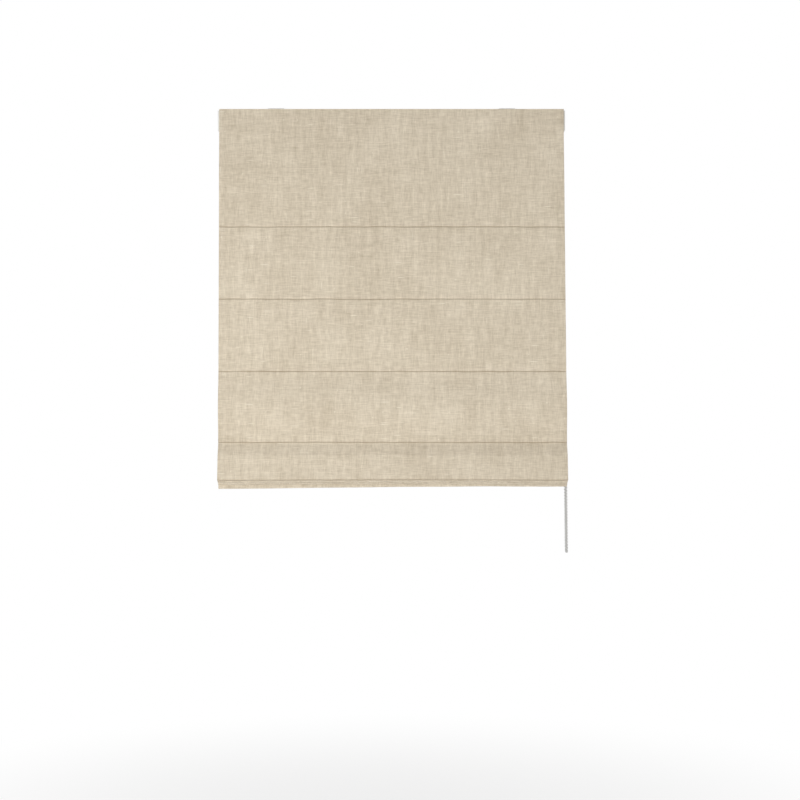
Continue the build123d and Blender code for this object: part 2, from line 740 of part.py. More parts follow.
shaft_corner = SHAFT_AF / math.sqrt(3)
shaft_room = shaft_corner + CORE_CLEAR
with BuildPart() as clutch_core:
    with BuildSketch(Plane.YZ.offset(RAIL_RIGHT)):
        with Locations((0, AXIS_Z)):
            Circle(HUB_R)
            Circle(shaft_room, mode=Mode.SUBTRACT)
    extrude(amount=CORE_X - RAIL_RIGHT)
    with BuildSketch(Plane.YZ.offset(RAIL_RIGHT - BOSS_T)):
        with Locations((0, AXIS_Z)):
            Circle(HUB_R + BOSS_RIM)
            Circle(shaft_room, mode=Mode.SUBTRACT)
    extrude(amount=BOSS_T)
save(clutch_core.part, "clutch_core")

coil_pitch = SPRING_WIRE + COIL_GAP
with BuildPart() as brake_spring:
    for turn in range(SPRING_TURNS):
        with BuildSketch(Plane.YZ.offset(RAIL_RIGHT + CLUTCH_BACK_T + COIL_GAP + turn * coil_pitch)):
            with Locations((0, AXIS_Z)):
                Circle(HUB_R + SPRING_PLAY + SPRING_WIRE)
                Circle(HUB_R + SPRING_PLAY, mode=Mode.SUBTRACT)
        extrude(amount=coil_pitch if turn < SPRING_TURNS - 1 else SPRING_WIRE)
save(brake_spring.part, "brake_spring")

with BuildPart() as clutch_cover:
    with BuildSketch(Plane.YZ.offset(COVER_X)):
        add(end_outline(RAIL_BOTTOM))
    extrude(amount=CLUTCH_COVER_T)
    rim = clutch_cover.faces().sort_by(Axis.X)[-1]
    fillet(rim.edges(), CLUTCH_COVER_T * RIM_SHARE)
save(clutch_cover.part, "clutch_cover")

# Cap and shaft bearing at the left end
with BuildPart() as end_cap:
    with BuildSketch(Plane.YZ.offset(-END_X)):
        add(end_outline(RAIL_BOTTOM))
    extrude(amount=CAP_T)
    rim = end_cap.faces().sort_by(Axis.X)[0]
    fillet(rim.edges(), CAP_T * RIM_SHARE)
    add(rail_plug(RAIL_LEFT, RAIL_LEFT + CAP_PLUG_L))
save(end_cap.part, "end_cap")

with BuildPart() as shaft_bearing:
    with BuildSketch(Plane.YZ.offset(RAIL_LEFT)):
        with Locations((0, AXIS_Z)):
            Circle(BEARING_R)
            Circle(shaft_corner + BEARING_CLEAR, mode=Mode.SUBTRACT)
    extrude(amount=BEARING_L)
save(shaft_bearing.part, "shaft_bearing")
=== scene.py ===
# %% [markdown]
# # A folded linen shade
# A flat fabric shade hangs from a head rail. Ribs in pockets on its back carry rings, and
# three cords run through the rings up to drums in the rail. A bead chain at the right end
# turns the drums, so the cloth gathers in folds from the bottom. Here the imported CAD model
# gives every place, and this lesson gives it its cloth, its small parts and its finishes.

import json
import math

import bmesh
import bpy
from mathutils import Matrix, Vector, noise


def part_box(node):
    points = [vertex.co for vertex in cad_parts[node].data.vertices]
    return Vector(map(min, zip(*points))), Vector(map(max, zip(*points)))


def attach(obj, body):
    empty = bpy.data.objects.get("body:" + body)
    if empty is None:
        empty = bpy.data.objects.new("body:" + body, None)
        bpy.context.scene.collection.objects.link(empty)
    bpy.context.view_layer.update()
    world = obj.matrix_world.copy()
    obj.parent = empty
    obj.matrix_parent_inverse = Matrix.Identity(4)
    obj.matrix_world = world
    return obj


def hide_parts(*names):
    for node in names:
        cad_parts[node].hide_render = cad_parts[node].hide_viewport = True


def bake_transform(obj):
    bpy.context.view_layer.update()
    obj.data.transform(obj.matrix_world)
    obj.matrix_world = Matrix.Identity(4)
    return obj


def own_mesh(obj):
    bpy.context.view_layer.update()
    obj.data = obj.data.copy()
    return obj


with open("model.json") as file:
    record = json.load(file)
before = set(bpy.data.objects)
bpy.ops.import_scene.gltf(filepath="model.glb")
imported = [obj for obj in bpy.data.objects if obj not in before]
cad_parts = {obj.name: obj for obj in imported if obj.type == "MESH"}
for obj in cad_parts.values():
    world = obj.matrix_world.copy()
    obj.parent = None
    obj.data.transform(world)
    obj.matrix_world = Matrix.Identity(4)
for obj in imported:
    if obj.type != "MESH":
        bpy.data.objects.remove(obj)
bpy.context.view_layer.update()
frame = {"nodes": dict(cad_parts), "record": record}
MM = 0.001

# %% [markdown]
# ## Camera, floor and light
# The picture was taken straight on from about 3.3 m, with a little of the view shifted up
# and to the right, as a lens shift does. A large soft light low in front and to the left, a
# fill at the side and one behind light the cloth, which gets a little brighter downwards.
# The floor is pale and fades into a white background.

# %% Camera
CLOTH_Y = -20.6 * MM
EYE = Vector((-2.0 * MM, CLOTH_Y - 3.3, -0.621))
SEEN_WIDTH = 1.592
FRAME_PX = 800
eye_data = bpy.data.cameras.new("eye")
eye_data.sensor_width = 36.0
eye_data.lens = 36.0 * (CLOTH_Y - EYE.y) / SEEN_WIDTH
eye_data.shift_x = 9.5 / FRAME_PX
eye_data.shift_y = 20.0 / FRAME_PX
eye = bpy.data.objects.new("eye", eye_data)
eye.location = EYE
eye.rotation_euler = (math.radians(90), 0, 0)
bpy.context.scene.collection.objects.link(eye)
bpy.context.scene.camera = eye
bpy.context.scene.view_settings.view_transform = "Standard"
print("lens", round(eye_data.lens, 1), "mm")


# %% Lights
def soft_light(name, place, aim, size, power):
    """A large square lamp that looks at a point."""
    data = bpy.data.lights.new(name, "AREA")
    data.size = size
    data.energy = power
    lamp = bpy.data.objects.new(name, data)
    lamp.location = place
    lamp.rotation_euler = (Vector(aim) - Vector(place)).to_track_quat("-Z", "Y").to_euler()
    bpy.context.scene.collection.objects.link(lamp)


MIDDLE = (0, 0, -0.4)
soft_light("front_light", (-0.8, -2.1, -0.7), (0, 0, -1.0), 1.1, 27)
soft_light("side_light", (2.2, -1.4, -0.6), MIDDLE, 1.4, 8)
soft_light("back_light", (0.6, 2.4, 0.6), MIDDLE, 1.8, 26)

world = bpy.data.worlds.new("studio")
bpy.context.scene.world = world
world.use_nodes = True
sky = world.node_tree
sky.nodes.clear()
sky_out = sky.nodes.new("ShaderNodeOutputWorld")
sky_mix = sky.nodes.new("ShaderNodeMixShader")
sky_seen = sky.nodes.new("ShaderNodeBackground")
sky_seen.inputs["Color"].default_value = (1, 1, 1, 1)
sky_lit = sky.nodes.new("ShaderNodeBackground")
sky_lit.inputs["Color"].default_value = (1, 1, 1, 1)
sky_lit.inputs["Strength"].default_value = 0.49
sky_path = sky.nodes.new("ShaderNodeLightPath")
sky.links.new(sky_path.outputs["Is Camera Ray"], sky_mix.inputs[0])
sky.links.new(sky_lit.outputs[0], sky_mix.inputs[1])
sky.links.new(sky_seen.outputs[0], sky_mix.inputs[2])
sky.links.new(sky_mix.outputs[0], sky_out.inputs[0])
print(len(bpy.data.lights), "lamps")

# %% [markdown]
# ## A small language for finishes
# Shader maths reads badly as a web of nodes. One small class wraps an output socket and
# overloads the operators, so that a pattern is written as a sum, and a second one owns a
# material and makes any other node from its type, its settings and its inputs.


# %% Signals and finishes
class Signal:
    """One output socket that can be added, multiplied and compared like a number."""

    def __init__(self, tree, socket):
        self.tree = tree
        self.socket = socket

    def math(self, operation, *values):
        node = self.tree.nodes.new("ShaderNodeMath")
        node.operation = operation
        for slot, value in zip(node.inputs, values):
            feed(self.tree, slot, value)
        return Signal(self.tree, node.outputs[0])

    def __add__(self, other):
        return self.math("ADD", self, other)

    def __sub__(self, other):
        return self.math("SUBTRACT", self, other)

    def __mul__(self, other):
        return self.math("MULTIPLY", self, other)

    def __gt__(self, other):
        return self.math("GREATER_THAN", self, other)

    def __radd__(self, other):
        return self.math("ADD", other, self)

    def __rsub__(self, other):
        return self.math("SUBTRACT", other, self)

    def __rmul__(self, other):
        return self.math("MULTIPLY", other, self)

    def sine(self):
        return self.math("SINE", self)

    def fade(self, low, high):
        """0 below low, 1 above high, and smooth between them."""
        node = self.tree.nodes.new("ShaderNodeMapRange")
        node.interpolation_type = "SMOOTHSTEP"
        feed(self.tree, node.inputs["Value"], self)
        node.inputs["From Min"].default_value = low
        node.inputs["From Max"].default_value = high
        return Signal(self.tree, node.outputs["Result"])


def feed(tree, slot, value):
    """Give an input a link or a plain value."""
    if isinstance(value, Signal):
        tree.links.new(value.socket, slot)
    else:
        slot.default_value = value


class Finish:
    """A material with one Principled shader and a helper for all other nodes."""

    def __init__(self, name, roughness, **skin):
        self.material = bpy.data.materials.new(name)
        self.material.use_nodes = True
        self.tree = self.material.node_tree
        self.skin = self.tree.nodes["Principled BSDF"]
        self.skin.inputs["Roughness"].default_value = roughness
        for key, value in skin.items():
            self.skin.inputs[key.replace("_", " ")].default_value = value

    def node(self, kind, settings=(), values=(), output=0):
        made = self.tree.nodes.new(kind)
        for key, value in dict(settings).items():
            setattr(made, key, value)
        for key, value in dict(values).items():
            feed(self.tree, made.inputs[key], value)
        return Signal(self.tree, made.outputs[output])

    def place(self):
        return self.node("ShaderNodeTexCoord", output="Object")

    def scaled(self, vector, x, y, z=1.0):
        return self.node("ShaderNodeMapping", values={"Vector": vector, "Scale": (x, y, z)})

    def speckle(self, vector, scale=1.0, detail=2.0):
        values = {"Vector": vector, "Scale": scale, "Detail": detail}
        return self.node("ShaderNodeTexNoise", values=values)

    def mix(self, amount, first, second):
        settings = {"data_type": "RGBA"}
        values = {0: amount, 6: first, 7: second}
        return self.node("ShaderNodeMix", settings, values, output=2)

    def colour(self, value):
        feed(self.tree, self.skin.inputs["Base Color"], value)

    def rough(self, value):
        feed(self.tree, self.skin.inputs["Roughness"], value)

    def bump(self, height, depth, strength=1.0):
        values = {"Height": height, "Distance": depth, "Strength": strength}
        feed(self.tree, self.skin.inputs["Normal"], self.node("ShaderNodeBump", values=values))


print("finish helpers ready")

# %% [markdown]
# ## Linen and lining
# Linen is a plain weave of uneven yarns: some swell into slubs, so fine streaks run both
# ways, and the thick places look lighter. The pattern follows the cloth's own UV map, which
# is in metres along and across the cloth, so that it turns round every fold with it. A yarn
# is noise stretched along one direction, and the weave itself is the product of two sines.


# %% Woven finishes
# Brown tint of the painted shade in the tuck grooves and under the front fold.
CREASE_SHADE_TINT = (0.62, 0.52, 0.42)


def woven(name, dark, light, fleck, yarn, contrast, mottle, depth):
    """A plain weave with uneven yarns; yarn is the space between two of them in metres."""
    cloth = Finish(name, 0.9, Sheen_Weight=0.25, Sheen_Roughness=0.6)
    flat = cloth.node("ShaderNodeUVMap", {"uv_map": "cloth"})
    u, v = [cloth.node("ShaderNodeSeparateXYZ", values={0: flat}, output=i) for i in (0, 1)]
    per_m = 1.0 / yarn
    warp = cloth.speckle(cloth.scaled(flat, 0.6 * per_m, 60.0))
    weft = cloth.speckle(cloth.scaled(flat, 55.0, 0.6 * per_m))
    warp_band = cloth.speckle(cloth.scaled(flat, 0.17 * per_m, 14.0), detail=3.0)
    weft_band = cloth.speckle(cloth.scaled(flat, 12.0, 0.15 * per_m), detail=3.0)
    cloudy = cloth.speckle(cloth.scaled(flat, 9.0, 7.0))
    slub_across = cloth.speckle(cloth.scaled(flat, 34.0, 0.7 * per_m), detail=0.0)
    slub_along = cloth.speckle(cloth.scaled(flat, 0.7 * per_m, 30.0), detail=0.0)
    knots = cloth.speckle(cloth.scaled(flat, 0.22 * per_m, 0.25 * per_m), detail=0.0)
    yarns = warp * 0.9 + weft + warp_band * 0.8 + weft_band * 0.5 - 1.6
    tone = 0.5 + yarns * contrast + (cloudy - 0.5) * mottle
    long_slubs = slub_across.fade(0.77, 0.86) + slub_along.fade(0.80, 0.88) * 0.7
    slubs = long_slubs + knots.fade(0.80, 0.88) * 0.6
    plain = cloth.mix(tone, (*dark, 1), (*light, 1))
    slubby = cloth.mix(slubs * 0.75, plain, (*fleck, 1))
    # Painted shade: where the mesh marks a tuck groove or the bottom of the front fold, the colour is mixed
    # towards a brown tint of the darkest yarn colour, a little unevenly along the weft.
    line = cloth.node("ShaderNodeAttribute", {"attribute_name": "stitch_line"}, output="Fac")
    shade_share = line * (0.55 + weft.fade(0.35, 0.65) * 0.45)
    shaded = [share * part for share, part in zip(CREASE_SHADE_TINT, dark)]
    cloth.colour(cloth.mix(shade_share * 0.8, slubby, (*shaded, 1)))
    cloth.rough(0.84 + weft * 0.12)
    turn = 2 * math.pi * per_m
    weave = (u * turn).sine() * (v * turn).sine()
    cloth.bump(weave * 0.5 + warp * 0.9 + weft + slubs * 0.8, depth)
    return cloth.material


linen = woven(
    "linen", (0.47, 0.388, 0.275), (0.79, 0.703, 0.56), (0.86, 0.80, 0.67), 1.5 * MM, 0.85, 0.5, 0.32 * MM
)
lining_cloth = woven(
    "lining_cloth", (0.70, 0.66, 0.57), (0.86, 0.83, 0.75), (0.88, 0.86, 0.79), 0.7 * MM, 0.5, 0.25, 0.1 * MM
)
print(linen.name, lining_cloth.name)

# %% [markdown]
# ## Plastic, paint, metal and cord
# Moulded plastic has a fine orange-peel skin and small changes of gloss. Powder coat is the
# same but coarser. Bare steel has drawn streaks along its length. Cord and tape have threads.


# %% Smooth and threaded finishes
def moulded(name, base, roughness, grain, depth, **skin):
    """Plastic or paint: a fine skin, and colour and gloss that change a little."""
    shell = Finish(name, roughness, **skin)
    fine = shell.speckle(shell.place(), grain, 3.0)
    broad = shell.speckle(shell.place(), 22.0)
    darker = tuple(0.95 * part for part in base)
    shell.colour(shell.mix(broad.fade(0.3, 0.75), (*base, 1), (*darker, 1)))
    shell.rough(roughness - 0.07 + broad * 0.14)
    shell.bump(fine, depth, 0.6)
    return shell.material


def drawn(name, base, roughness):
    """Steel with fine streaks along X."""
    metal = Finish(name, roughness, Metallic=1.0)
    streaks = metal.speckle(metal.scaled(metal.place(), 14.0, 2600.0, 2600.0), detail=3.0)
    darker = tuple(0.7 * part for part in base)
    metal.colour(metal.mix(streaks, (*darker, 1), (*base, 1)))
    metal.rough(roughness - 0.1 + streaks * 0.22)
    metal.bump(streaks, 0.02 * MM)
    return metal.material


def braided(name, base, pitch, depth):
    """Cord or tape: crossing threads at this pitch in metres."""
    threads = Finish(name, 0.85, Sheen_Weight=0.2)
    spot = threads.place()
    x, y, z = [threads.node("ShaderNodeSeparateXYZ", values={0: spot}, output=i) for i in range(3)]
    turn = 2 * math.pi / pitch
    one = ((x + y + z) * turn).sine()
    other = ((x + y - z) * turn).sine()
    fuzz = threads.speckle(spot, 900.0, 3.0)
    lay = one * other * 0.5 + 0.5
    darker = tuple(0.72 * part for part in base)
    threads.colour(threads.mix(lay * 0.6 + fuzz * 0.4, (*darker, 1), (*base, 1)))
    threads.bump(lay + fuzz * 0.6, depth)
    return threads.material


rail_coat = moulded("rail_coat", (0.86, 0.86, 0.84), 0.42, 1400.0, 0.05 * MM)
white_plastic = moulded("white_plastic", (0.84, 0.83, 0.79), 0.40, 700.0, 0.03 * MM)
bracket_coat = moulded("bracket_coat", (0.80, 0.80, 0.78), 0.38, 1100.0, 0.04 * MM)
bar_coat = moulded("bar_coat", (0.66, 0.66, 0.65), 0.45, 900.0, 0.04 * MM)
rib_rod = moulded("rib_rod", (0.76, 0.78, 0.72), 0.34, 1800.0, 0.02 * MM, Coat_Weight=0.3)
ring_plastic = moulded("ring_plastic", (0.88, 0.88, 0.85), 0.16, 500.0, 0.01 * MM, Coat_Weight=0.5)
chain_plastic = moulded("chain_plastic", (0.50, 0.495, 0.48), 0.36, 1500.0, 0.02 * MM)
shaft_steel = drawn("shaft_steel", (0.64, 0.65, 0.67), 0.36)
spring_steel = drawn("spring_steel", (0.42, 0.43, 0.45), 0.30)
white_cord = braided("white_cord", (0.84, 0.83, 0.78), 1.1 * MM, 0.12 * MM)
hook_loop = braided("hook_loop", (0.84, 0.84, 0.81), 0.8 * MM, 0.15 * MM)
SLOT_FINISH = {
    "linen": linen,
    "lining": lining_cloth,
    "rail": rail_coat,
    "white_plastic": white_plastic,
    "bracket_steel": bracket_coat,
    "cord": white_cord,
    "rib": rib_rod,
    "ring": ring_plastic,
    "bar_steel": bar_coat,
    "chain_plastic": chain_plastic,
    "tape": hook_loop,
    "shaft_steel": shaft_steel,
    "spring_steel": spring_steel,
}
for part in frame["record"]["subparts"]:
    shown = frame["nodes"][part["node"]]
    shown.data.materials.clear()
    shown.data.materials.append(SLOT_FINISH[part["material_slot"]])
print(len(SLOT_FINISH), "finishes on", len(frame["nodes"]), "nodes")

# %% [markdown]
# ## How cloth is laid along a path
# A sheet starts as a flat grid whose rows are places down the shade and whose columns are
# places across it. Its rows are then laid along a path in the side view, rounded where the
# cloth turns. The face cloth wraps round each side edge and comes back as a hem, so some of
# its columns lie on the path of the back. The UV map keeps the flat size in metres.

# %% Places in the side view, in millimetres
def middle_z(node):
    """The height of the middle of a CAD node."""
    low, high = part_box(node)
    return round((low.z + high.z) / 2 / MM, 2)


SEAM_Y = -19.775
RIB_Y = -17.5
FLAP_Y = -16.05
FACE_T = 0.8
LINING_T = 0.4
FACE_OUT = 0.475
LINING_IN = 0.275
HALF_W = 343.0
HEM_W = 28.0
LINING_HALF = 314.7
FABRIC_TOP = -2.0
LINING_TOP = -3.5
RAIL_BOTTOM = -44.2
AXIS_Z = -24.2
ROW_Z = {row: middle_z(f"rings_{row}") for row in range(1, 8)}
RING_X = {"left": -255.0, "middle": 0.0, "right": 255.0}
CORD_Y = -8.5
ARCH_RISE = 2.475
BAR_HALF = 2.05
HEM_FLOOR_Z = -751.6
HEM_TOP_Z = HEM_FLOOR_Z + 24.0
FLAP_SPREAD_H = 18.0
SPLIT_Z = ROW_Z[7] - 14.0

BOW_END = 18.0
BOW_DEPTH = 11.0
bow = [
    (SEAM_Y, ROW_Z[3] - BOW_END, 120),
    (SEAM_Y - BOW_DEPTH, (ROW_Z[3] + ROW_Z[4]) / 2, 170),
    (SEAM_Y, ROW_Z[4] + BOW_END, 120),
]
APEX_Y = (-18.95, FLAP_Y)
APEX_Z = tuple(round(ROW_Z[row] - 1.2, 3) for row in (5, 6, 7))
FOOT_Z = tuple(apex - 2.0 for apex in APEX_Z)
GATE_Z = tuple(ROW_Z[row] + 2.5 for row in (5, 6, 7))
FOLD_Z = (-738.625, -742.625, -746.625)
FOLD_Y = (-41.075, -32.975, -24.875)
FOLD_W = 5.2
FOLD_R = 2.3


def fold_turn(loop):
    """The front corner, the middle and the back corner of the bottom of one fold."""
    y, z = FOLD_Y[loop], FOLD_Z[loop]
    return (y, z, FOLD_R), (y + FOLD_W / 2, z, 0), (y + FOLD_W, z, FOLD_R)


def apex(loop):
    """The corners behind and before the top of the rib that carries the back of one fold."""
    z, foot = APEX_Z[loop], FOOT_Z[loop]
    rising = [(APEX_Y[0], foot, 1.2), (APEX_Y[0], z, 1.35), (RIB_Y, z, 0)]
    falling = [(RIB_Y, z, 0), (APEX_Y[1], z, 1.35), (APEX_Y[1], foot, 1.2)]
    return rising, falling


turns = [fold_turn(loop) for loop in range(3)]
apexes = [apex(loop) for loop in range(3)]
first, second, third = GATE_Z
folds = {
    "loop_1_front": [(SEAM_Y, ROW_Z[4], 0), (SEAM_Y, ROW_Z[4] - 3.2, 3), (-21.1, first, 3), (-31.7, third, 3)]
    + [*turns[0][:2]],
    "loop_1_back": [*turns[0][1:], (-29.3, third, 3), (-24.0, second, 3)] + apexes[0][0],
    "loop_2_front": apexes[0][1] + [(-21.1, second, 3), (-26.4, third, 3), *turns[1][:2]],
    "loop_2_back": [*turns[1][1:], (-24.0, third, 3)] + apexes[1][0],
    "loop_3_front": apexes[1][1] + [(-21.1, third, 3), *turns[2][:2]],
    "loop_3_back": [*turns[2][1:]] + apexes[2][0],
}
print(len(folds), "folded panels")


# %% Rounded paths
ARC_STEPS = 5


def rounded(corners, step, counts=None):
    """Points along a bent line with rounded corners, about a step apart, and their counts."""
    spots = [Vector(corner[:2]) for corner in corners]
    bends = []
    for before, here, after, (_, _, radius) in zip(spots, spots[1:], spots[2:], corners[1:]):
        come, go = (here - before).normalized(), (after - here).normalized()
        half = come.angle(go) / 2
        reach = radius * math.tan(half)
        centre = here + (go - come).normalized() * (radius / math.cos(half))
        start = here - come * reach
        side = math.copysign(1, come.x * go.y - come.y * go.x)
        arm = start - centre
        turns = [Matrix.Rotation(side * 2 * half * i / ARC_STEPS, 2) for i in range(ARC_STEPS + 1)]
        bends.append([centre + turn @ arm for turn in turns])
    stops = [[spots[0]]] + bends + [[spots[-1]]]
    if counts is None:
        runs = [(after[0] - before[-1]).length for before, after in zip(stops, stops[1:])]
        counts = [max(1, math.ceil(run / step)) for run in runs]
    line = []
    for before, after, count in zip(stops, stops[1:], counts):
        line += before
        line += [before[-1].lerp(after[0], i / count) for i in range(1, count)]
    return line + [spots[-1]], counts


def shifted(line, amount):
    """The same line, moved to the right of the way it runs."""
    ahead = [(after - before).normalized() for before, after in zip(line, line[1:])]
    ways = [ahead[0]] + [(a + b).normalized() for a, b in zip(ahead, ahead[1:])] + [ahead[-1]]
    return [spot + Vector((way.y, -way.x)) * amount for spot, way in zip(line, ways)]


def lengths(line):
    """The distance along a line at each of its points."""
    total = [0.0]
    for before, after in zip(line, line[1:]):
        total.append(total[-1] + (after - before).length)
    return total


demo, _ = rounded(folds["loop_1_front"], 6.0)
print("the front of the first fold is", round(lengths(demo)[-1]), "mm long")

# %% [markdown]
# ## Small unevenness
# Hung cloth is never quite flat. Between two seams it swells by about a millimetre, the seams
# and the bottoms of the folds wander a little, the sides spread downwards, and the lower edge
# hangs lower at the left. The hem tilts most, and the folds before it only a little.


# %% Relief
def swell(x, z):
    """How far the hanging cloth stands forward here, in millimetres."""
    edges = (FABRIC_TOP, ROW_Z[1], ROW_Z[2], ROW_Z[3], ROW_Z[4])
    for high, low in zip(edges, edges[1:]):
        if low <= z <= high:
            share = (high - z) / (high - low)
            room = math.sin(math.pi * share) ** 2
            if high == FABRIC_TOP and z > RAIL_BOTTOM:
                return 0.0
            if high == FABRIC_TOP:
                room = math.sin(math.pi * (RAIL_BOTTOM - z) / (RAIL_BOTTOM - low)) ** 2
            waves = noise.noise(Vector((x / 150.0, z / 95.0, 1.7)))
            return room * (0.9 + 2.0 * waves)
    return 0.0


BASE_TILT = 0.6
SAG_SPAN = 36.0


def sag(x, z, tilt):
    """How far the gathered cloth hangs lower here, in millimetres."""
    share = min(1.0, max(0.0, (ROW_Z[7] - 2.0 - z) / SAG_SPAN))
    smooth = share * share * (3 - 2 * share)
    waves = 1.1 * noise.noise(Vector((x / 130.0, 0.4, 6.1)))
    return smooth * (tilt * (0.5 - x / (2 * HALF_W)) + waves + 0.7)


FLARE_TOP_Z = -60.0
FLARE_SPAN = 600.0
FLARE_LEFT = 2.0
FLARE_RIGHT = 6.5
SEAM_DROP = 1.5


def flare(x, z):
    """How much further out this place is: the gathered cloth spreads, most at the right."""
    share = min(1.0, max(0.0, (FLARE_TOP_Z - z) / FLARE_SPAN))
    return x / HALF_W * share * (FLARE_RIGHT if x > 0 else FLARE_LEFT)


def wander(x, row):
    """How far a seam, along the lower edge of its pocket, strays from the rib, in millimetres."""
    return 0.9 * noise.noise(Vector((x / 34.0, row * 3.7, 2.2))) - SEAM_DROP


def relief(x, y, z, tilt=BASE_TILT):
    """A place on the flat-hanging cloth, moved by all of these, in millimetres."""
    stray = sum(wander(x, row) * math.exp(-(((z - ROW_Z[row]) / 7.0) ** 2)) for row in (1, 2, 3, 4))
    return Vector((x + flare(x, z), y - swell(x, z), z + stray - sag(x, z, tilt)))


print("sag at the left and right", [round(sag(x, -745, 5.0), 1) for x in (-HALF_W, HALF_W)])


# %% Sheets
def new_piece(name, bm, *materials):
    """A mesh object from a bmesh, in metres, with smooth faces."""
    mesh = bpy.data.meshes.new(name)
    bm.to_mesh(mesh)
    bm.free()
    for material in materials:
        mesh.materials.append(material)
    mesh.shade_smooth()
    piece = bpy.data.objects.new(name, mesh)
    bpy.context.scene.collection.objects.link(piece)
    return piece


def baked(piece):
    """Make the modifiers part of the mesh."""
    seen = piece.evaluated_get(bpy.context.evaluated_depsgraph_get())
    mesh = bpy.data.meshes.new_from_object(seen)
    piece.modifiers.clear()
    old = piece.data
    piece.data = mesh
    bpy.data.meshes.remove(old)
    mesh.name = piece.name
    return piece


def laid_grid(columns, rows):
    """A flat grid of unit size and its vertices as a table of rows."""
    bm = bmesh.new()
    bmesh.ops.create_grid(bm, x_segments=columns - 1, y_segments=rows - 1, size=0.5)
    table = [[None] * columns for _ in range(rows)]
    for vert in bm.verts:
        column = round((vert.co.x + 0.5) * (columns - 1))
        row = round((0.5 - vert.co.y) * (rows - 1))
        table[row][column] = vert
    return bm, table


def sheet_mesh(name, places, flat, thickness, material):
    """Lay a grid: places[row][column] in millimetres and flat[row][column] = (u, v)."""
    rows, columns = len(places), len(places[0])
    bm, table = laid_grid(columns, rows)
    uv = bm.loops.layers.uv.new("cloth")
    spot = {}
    for row in range(rows):
        for column in range(columns):
            vert = table[row][column]
            vert.co = places[row][column] * MM
            spot[vert] = flat[row][column]
    for face in bm.faces:
        for loop in face.loops:
            u, v = spot[loop.vert]
            loop[uv].uv = (u * MM, v * MM)
    bmesh.ops.recalc_face_normals(bm, faces=bm.faces)
    piece = new_piece(name, bm, material)
    wall = piece.modifiers.new("cloth_thickness", "SOLIDIFY")
    wall.thickness = thickness * MM
    wall.offset = 0.0
    baked(piece)
    piece.data.set_sharp_from_angle(angle=math.radians(60))
    return piece


def spread(low, high, count):
    return [low + (high - low) * i / (count - 1) for i in range(count)]


def face_sheet(name, front, back, start, columns=99, tilt=BASE_TILT):
    """A face cloth with turned side hems between a front line and a back line."""
    along = lengths(front)
    edge_x = HALF_W - FACE_T / 2 - FACE_OUT
    inner_x = HALF_W - HEM_W
    flat_columns = spread(-edge_x, edge_x, columns)
    turn = spread(0, math.pi, 7)[1:-1]
    across = [(x, 1.0, x) for x in flat_columns]
    for angle in turn:
        across.append((edge_x + FACE_OUT * math.sin(angle), math.cos(angle), edge_x + FACE_OUT * angle))
    for x in spread(edge_x, inner_x, 5):
        across.append((x, -1.0, 2 * edge_x + FACE_OUT * math.pi - x))
    mirrored = [(-x, side, -u) for x, side, u in across[columns:]]
    across = mirrored[::-1] + across
    places, flat = [], []
    for ahead, behind, s in zip(front, back, along):
        middle, reach = (ahead + behind) / 2, (ahead - behind) / 2
        line, marks = [], []
        for x, side, u in across:
            y, z = middle + reach * side
            line.append(relief(x, y + tuck(z) * max(0.0, side), z, tilt))
            marks.append((u, -(start + s)))
        places.append(line)
        flat.append(marks)
    piece = sheet_mesh(name, places, flat, FACE_T, linen)
    paint_crease_shade(piece)
    return piece, start + along[-1]


TUCK_HALF = 1.6


def tuck(z):
    """How deep the stitched tuck is drawn in at this height, in millimetres."""
    for row in (1, 2, 3, 4):
        away = abs(z - ROW_Z[row])
        if away < TUCK_HALF:
            return (1 - away / TUCK_HALF) ** 1.3
    return 0.0


FOLD_SHADE_H = 2.4


def paint_crease_shade(piece):
    """Mark painted shade at the bottoms of the tucks and of the front fold, where the cloth lies in shade."""
    mark = piece.data.attributes.new("stitch_line", "FLOAT", "POINT")
    for vert, value in zip(piece.data.vertices, mark.data):
        x, z = vert.co.x / MM, vert.co.z / MM
        row = min((1, 2, 3, 4), key=lambda number: abs(z - ROW_Z[number]))
        deep = tuck(z - wander(x, row))
        ahead = vert.co.y / MM < SEAM_Y + 1.1
        # Painted shade: strongest at the bottom of each tuck groove on the front face.
        value.value = min(1.0, deep * 1.25) if ahead else 0.0
        # Painted shade along the lowest 2.4 mm of the front fold, where it turns under.
        if piece.name == "face_loop_1_front":
            low = (FOLD_Z[0] + FOLD_SHADE_H - z - sag(x, z, BASE_TILT)) / FOLD_SHADE_H
            value.value = max(value.value, min(0.8, max(0.0, low)))


def lining_sheet(name, line, start, columns=61, tilt=BASE_TILT):
    """The lining along one line, between the side hems."""
    along = lengths(line)
    across = spread(-LINING_HALF, LINING_HALF, columns)
    places = [[relief(x, y, z, tilt) for x in across] for y, z in line]
    flat = [[(x, -(start + s)) for x in across] for s in along]
    piece = sheet_mesh(name, places, flat, LINING_T, lining_cloth)
    return piece, start + along[-1]


print("cloth helpers ready")

# %% [markdown]
# ## The hanging cloth
# The top strip is held on the rail by tape and never moves. Below the rail the panels fold
# up as the shade rises; here they hang from the rail as they are at rest. Each seam is a
# fine tuck, so the rows of the grid crowd together round it.


def crowded(line):
    """Add rows close to each seam, so that the tuck has a shape."""
    heights = [spot.y for spot in line]
    full = []
    for before, after in zip(line, line[1:]):
        full.append(before)
        for row in (1, 2, 3):
            for away in (2.6, 1.6, 1.1, 0.7, 0.35, 0.0, -0.35, -0.7, -1.1, -1.6, -2.6):
                z = ROW_Z[row] + away
                if after.y < z < before.y:
                    full.append(before.lerp(after, (before.y - z) / (before.y - after.y)))
    full.append(line[-1])
    for away in (2.6, 1.6, 1.1, 0.7, 0.35):
        z = ROW_Z[4] + away
        if min(abs(z - height) for height in heights) > 0.05:
            full.insert(-1, Vector((SEAM_Y, z)))
    return full


